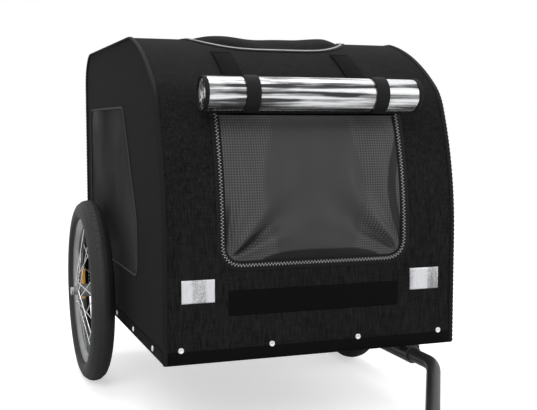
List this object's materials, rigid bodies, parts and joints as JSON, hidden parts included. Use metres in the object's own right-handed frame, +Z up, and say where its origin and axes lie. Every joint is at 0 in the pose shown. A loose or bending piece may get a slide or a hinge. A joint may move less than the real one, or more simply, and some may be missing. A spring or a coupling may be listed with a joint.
{
  "type": "dog bike trailer",
  "caption": "Two-wheeled fabric-covered dog trailer for a bicycle, with mesh doors, side windows, a roof hatch, rolled covers, spoked wheels and a turning tow bar.",
  "frame": {"origin": "on the floor, under the middle of the overall box", "axes": "+Z up, -Y forward (the way it is towed), +X to the trailer's own left"},
  "size_m": [0.709, 1.5141, 0.7341],
  "materials": {
    "frame_paint": "satin black powder coat",
    "hoop_steel": "satin black powder coat",
    "bright_steel": "zinc plated",
    "floor_board": "fabric-faced board",
    "mat_fabric": "quilted grey fabric",
    "cover_fabric": "woven heather fabric, near black",
    "side_fabric": "woven fabric, near black",
    "window_film": "smooth dark film",
    "mesh": "fine grey mesh",
    "clear_roll": "shiny rolled film",
    "webbing": "black webbing",
    "black_plastic": "moulded black",
    "tyre": "black rubber",
    "rim_alloy": "satin silver",
    "spoke_steel": "bright steel",
    "amber_reflector": "amber moulded lens",
    "coupler_rubber": "black rubber"
  },
  "bodies": {
    "cabin": {"left_base_rail": "frame_paint", "right_base_rail": "frame_paint", "front_cross_tube": "frame_paint", "tow_cross_tube": "frame_paint", "axle_cross_tube": "frame_paint", "rear_cross_tube": "frame_paint", "left_hoop": "hoop_steel", "right_hoop": "hoop_steel", "door_header_bar": "hoop_steel", "rear_roof_bar": "hoop_steel", "left_axle_bracket": "frame_paint", "right_axle_bracket": "frame_paint", "left_axle_pin": "bright_steel", "right_axle_pin": "bright_steel", "floor_board": "floor_board", "floor_mat": "mat_fabric", "front_panel": "cover_fabric", "roof_panel": "cover_fabric", "rear_panel": "cover_fabric", "left_side_panel": "side_fabric", "right_side_panel": "side_fabric", "left_window": "window_film", "right_window": "window_film", "front_rain_cover_roll": "clear_roll", "front_roll_straps": "webbing", "rear_cover_roll": "side_fabric", "rear_roll_straps": "webbing", "tow_socket": "frame_paint", "tow_lock_knob": "black_plastic"},
    "left_wheel": {"left_tyre": "tyre", "left_rim": "rim_alloy", "left_hub": "rim_alloy", "left_spokes": "spoke_steel", "left_spoke_reflectors": "amber_reflector"},
    "right_wheel": {"right_tyre": "tyre", "right_rim": "rim_alloy", "right_hub": "rim_alloy", "right_spokes": "spoke_steel", "right_spoke_reflectors": "amber_reflector"},
    "tow_bar": {"tow_tube": "frame_paint", "coupler": "coupler_rubber", "hitch_plate": "bright_steel"},
    "front_door_flap": {"front_door": "mesh"},
    "rear_door_flap": {"rear_door": "mesh"},
    "roof_hatch_flap": {"roof_hatch": "cover_fabric"}
  },
  "joints": [
    {"name": "left_wheel_spin", "type": "hinge", "parent": "cabin", "child": "left_wheel", "pos_m": [0.313, 0.477, 0.2], "axis": [1, 0, 0], "continuous": true},
    {"name": "right_wheel_spin", "type": "hinge", "parent": "cabin", "child": "right_wheel", "pos_m": [-0.313, 0.477, 0.2], "axis": [1, 0, 0], "continuous": true},
    {"name": "tow_bar_turn", "type": "hinge", "parent": "cabin", "child": "tow_bar", "pos_m": [0.2, -0.088, 0.14], "axis": [0, 1, 0], "range_deg": [0, 90]},
    {"name": "front_door_swing", "type": "hinge", "parent": "cabin", "child": "front_door_flap", "pos_m": [0, -0.04595, 0.586], "axis": [-1, 0, 0], "range_deg": [0, 60]},
    {"name": "rear_door_swing", "type": "hinge", "parent": "cabin", "child": "rear_door_flap", "pos_m": [0, 0.7105, 0.586], "axis": [1, 0, 0], "range_deg": [0, 80]},
    {"name": "roof_hatch_lift", "type": "hinge", "parent": "cabin", "child": "roof_hatch_flap", "pos_m": [0, 0.47, 0.7341], "axis": [-1, 0, 0], "range_deg": [0, 110]}
  ]
}
